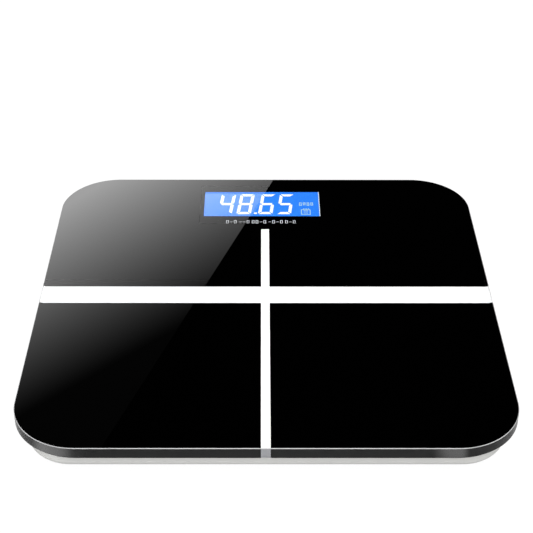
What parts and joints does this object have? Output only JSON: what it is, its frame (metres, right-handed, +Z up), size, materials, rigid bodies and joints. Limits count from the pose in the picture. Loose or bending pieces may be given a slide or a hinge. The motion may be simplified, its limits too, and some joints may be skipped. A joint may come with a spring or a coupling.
{
  "type": "bathroom scale",
  "caption": "Square glass-topped bathroom scale on a shallow plastic tray, with a black and white back-print, a backlit display and a pressure foot under each corner",
  "frame": {"origin": "on the floor under the centre of the platform", "axes": "+Z up, +Y towards the display, +X to the right of someone facing the display"},
  "size_m": [0.26, 0.26, 0.023],
  "materials": {
    "clear_glass": "polished tempered glass",
    "black_ink": "black back-print",
    "white_ink": "white back-print",
    "tray_plastic": "fine moulded texture",
    "foam_tape": "black foam tape",
    "black_plastic": "satin moulded",
    "grey_rubber": "matt rubber",
    "spring_steel": "bright plated spring steel",
    "screw_steel": "zinc plated",
    "lcd_blue": "backlit blue display",
    "white_acrylic": "light guide",
    "board_green": "solder mask",
    "chip_black": "moulded epoxy",
    "zebra_rubber": "layered silicone",
    "cell_sleeve": "printed sleeve",
    "lead_grey": "PVC sheath",
    "lead_red": "PVC sheath",
    "lead_black": "PVC sheath"
  },
  "bodies": {
    "scale": {"glass_platform": "clear_glass", "print_black_rear": "black_ink", "print_black_front_left": "black_ink", "print_black_front_right": "black_ink", "print_white_cross": "white_ink", "bonding_tape_ring": "foam_tape", "base_tray": "tray_plastic", "seat_tape_front_left": "foam_tape", "sensor_seat_front_left": "black_plastic", "load_cell_front_left": "spring_steel", "sensor_lead_front_left": "lead_grey", "tray_screw_front_left_a": "screw_steel", "tray_screw_front_left_b": "screw_steel", "seat_tape_front_right": "foam_tape", "sensor_seat_front_right": "black_plastic", "load_cell_front_right": "spring_steel", "sensor_lead_front_right": "lead_grey", "tray_screw_front_right_a": "screw_steel", "tray_screw_front_right_b": "screw_steel", "seat_tape_rear_left": "foam_tape", "sensor_seat_rear_left": "black_plastic", "load_cell_rear_left": "spring_steel", "sensor_lead_rear_left": "lead_grey", "tray_screw_rear_left_a": "screw_steel", "tray_screw_rear_left_b": "screw_steel", "seat_tape_rear_right": "foam_tape", "sensor_seat_rear_right": "black_plastic", "load_cell_rear_right": "spring_steel", "sensor_lead_rear_right": "lead_grey", "tray_screw_rear_right_a": "screw_steel", "tray_screw_rear_right_b": "screw_steel", "lcd_panel": "lcd_blue", "backlight_panel": "white_acrylic", "zebra_strip": "zebra_rubber", "display_holder": "black_plastic", "main_board": "board_green", "board_screw_1": "screw_steel", "board_screw_2": "screw_steel", "controller_chip": "chip_black", "tact_switch": "chip_black", "battery_cell_1": "cell_sleeve", "battery_cell_2": "cell_sleeve", "contact_spring_1": "spring_steel", "contact_spring_2": "spring_steel", "contact_bridge": "spring_steel", "contact_positive": "spring_steel", "contact_negative": "spring_steel", "battery_lead_red": "lead_red", "battery_lead_black": "lead_black"},
    "foot_front_left": {"foot_shell_front_left": "black_plastic", "foot_pad_front_left": "grey_rubber"},
    "foot_front_right": {"foot_shell_front_right": "black_plastic", "foot_pad_front_right": "grey_rubber"},
    "foot_rear_left": {"foot_shell_rear_left": "black_plastic", "foot_pad_rear_left": "grey_rubber"},
    "foot_rear_right": {"foot_shell_rear_right": "black_plastic", "foot_pad_rear_right": "grey_rubber"},
    "button": {"unit_button": "black_plastic"},
    "door": {"battery_door": "tray_plastic"}
  },
  "joints": [
    {"name": "foot_slide_front_left", "type": "slide", "parent": "scale", "child": "foot_front_left", "axis": [0, 0, 1], "range_m": [-0.001, 0]},
    {"name": "foot_slide_front_right", "type": "slide", "parent": "scale", "child": "foot_front_right", "axis": [0, 0, 1], "range_m": [-0.001, 0]},
    {"name": "foot_slide_rear_left", "type": "slide", "parent": "scale", "child": "foot_rear_left", "axis": [0, 0, 1], "range_m": [-0.001, 0]},
    {"name": "foot_slide_rear_right", "type": "slide", "parent": "scale", "child": "foot_rear_right", "axis": [0, 0, 1], "range_m": [-0.001, 0]},
    {"name": "unit_button_press", "type": "slide", "parent": "scale", "child": "button", "axis": [0, 0, 1], "range_m": [0, 0.0005], "stiffness_N_per_m": 400, "springref_m": -0.0003},
    {"name": "battery_door_hinge", "type": "hinge", "parent": "scale", "child": "door", "pos_m": [0, 0.0256, 0.00195], "axis": [-1, 0, 0], "range_deg": [0, 75]}
  ]
}
